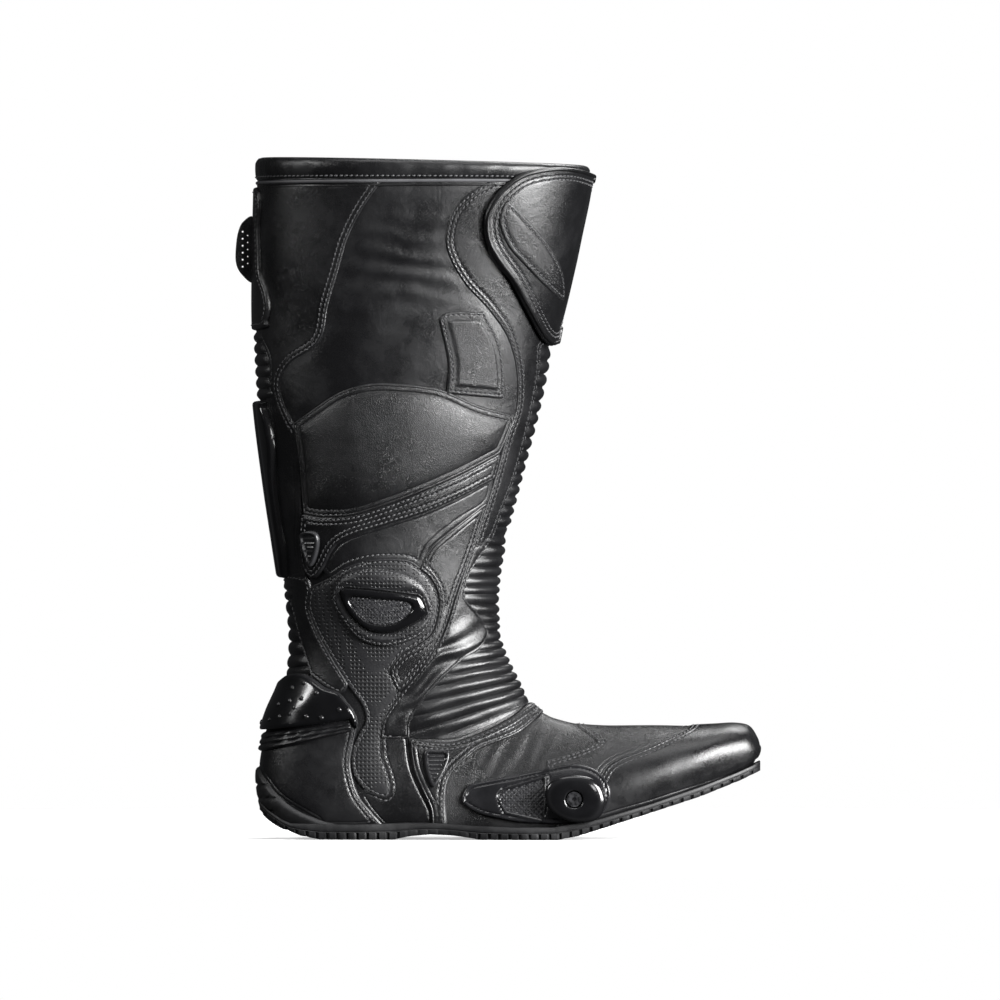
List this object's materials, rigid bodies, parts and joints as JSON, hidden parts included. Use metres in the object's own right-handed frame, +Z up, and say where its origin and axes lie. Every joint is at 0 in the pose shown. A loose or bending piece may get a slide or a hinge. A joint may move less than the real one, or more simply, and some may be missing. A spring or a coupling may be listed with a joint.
{
  "type": "motorcycle riding boot",
  "caption": "Tall black leather riding boot for the right foot, with a ribbed ankle that flexes, a zip on the inner side, a hook-and-loop shin flap, hard guards and a toe slider.",
  "frame": {"origin": "centre of the boot's bounding box in plan, on the ground", "axes": "+X from heel to toe, +Z up the leg, -Y to the outer side of the leg"},
  "size_m": [0.3218, 0.1352, 0.417],
  "materials": {
    "leather_smooth": "smooth semi-gloss black",
    "leather_satin": "satin fine-grain black",
    "leather_grain": "pebble-grain black",
    "leather_rib": "padded ribs, black",
    "suede": "perforated microfibre, charcoal black",
    "lining": "woven lining over foam, black",
    "rubber": "moulded, matt black",
    "tpu_gloss": "moulded, glossy black",
    "tpu_matte": "moulded, matt black",
    "mesh": "open mesh, grey-black",
    "board": "pressed fibre",
    "steel": "plain",
    "zip_metal": "gunmetal",
    "tape": "woven tape, black",
    "hook": "hook-and-loop, black"
  },
  "bodies": {
    "foot": {"outsole": "rubber", "heel_tread": "rubber", "forefoot_tread": "rubber", "heel_wrap": "rubber", "insole_board": "board", "steel_shank": "steel", "footbed": "lining", "toe_puff": "board", "heel_stiffener": "board", "foot_upper": "lining", "toe_cap": "leather_smooth", "vamp_overlay": "leather_smooth", "vamp_grain": "leather_grain", "saddle_strap": "leather_smooth", "quarter_panel": "leather_satin", "heel_cup": "tpu_matte", "heel_guard": "tpu_gloss", "heel_band": "tpu_gloss", "lower_vent": "tpu_matte", "slider_base": "tpu_gloss", "slider_mesh": "mesh", "toe_slider": "tpu_gloss", "slider_screw": "steel", "slider_nut": "steel", "instep_bellows": "leather_rib", "instep_fold": "leather_smooth", "achilles_bellows": "leather_rib", "rear_strip": "leather_smooth", "ankle_gusset": "lining", "ankle_panel": "suede", "side_panel": "leather_smooth"},
    "shaft": {"shaft_upper": "lining", "collar": "leather_smooth", "rear_quarter": "leather_smooth", "upper_calf": "leather_satin", "calf_pad": "leather_grain", "strap_band": "leather_smooth", "upper_vent": "tpu_matte", "wing_panel": "leather_smooth", "front_strip": "leather_smooth", "shin_bellows": "leather_rib", "side_badge": "leather_smooth", "ankle_ring": "suede", "ankle_cup": "tpu_gloss", "ankle_mesh": "mesh", "rear_bellows": "leather_rib", "spine_guard": "tpu_gloss", "rear_flap": "leather_smooth", "pull_tab": "tpu_matte", "inner_panel": "leather_satin", "zip_tapes": "tape", "zip_teeth": "zip_metal", "loop_patch": "hook", "flap_root": "leather_smooth"},
    "flap": {"shin_flap": "leather_smooth", "flap_piping": "leather_smooth", "flap_badge": "leather_smooth", "hook_patch": "hook"},
    "zip_slider": {"zip_slider": "zip_metal"},
    "zip_pull": {"zip_pull": "zip_metal"}
  },
  "joints": [
    {"name": "ankle_flex", "type": "hinge", "parent": "foot", "child": "shaft", "pos_m": [-0.07, 0, 0.141], "axis": [0, 1, 0], "range_deg": [-8, 12], "deforming": ["instep_bellows", "instep_fold", "achilles_bellows", "rear_strip", "ankle_gusset", "ankle_panel", "side_panel"]},
    {"name": "flap_hinge", "type": "hinge", "parent": "shaft", "child": "flap", "pos_m": [0.0099, 0.0508, 0.355], "axis": [0.2246, 0.058, 0.9727], "range_deg": [0, 95]},
    {"name": "zip_slide", "type": "slide", "parent": "shaft", "child": "zip_slider", "axis": [0, -0.0771, -0.997], "range_m": [0, 0.186]},
    {"name": "zip_pull_swing", "type": "hinge", "parent": "zip_slider", "child": "zip_pull", "pos_m": [-0.052, 0.06677, 0.38373], "axis": [1, 0, 0], "range_deg": [0, 150]}
  ]
}
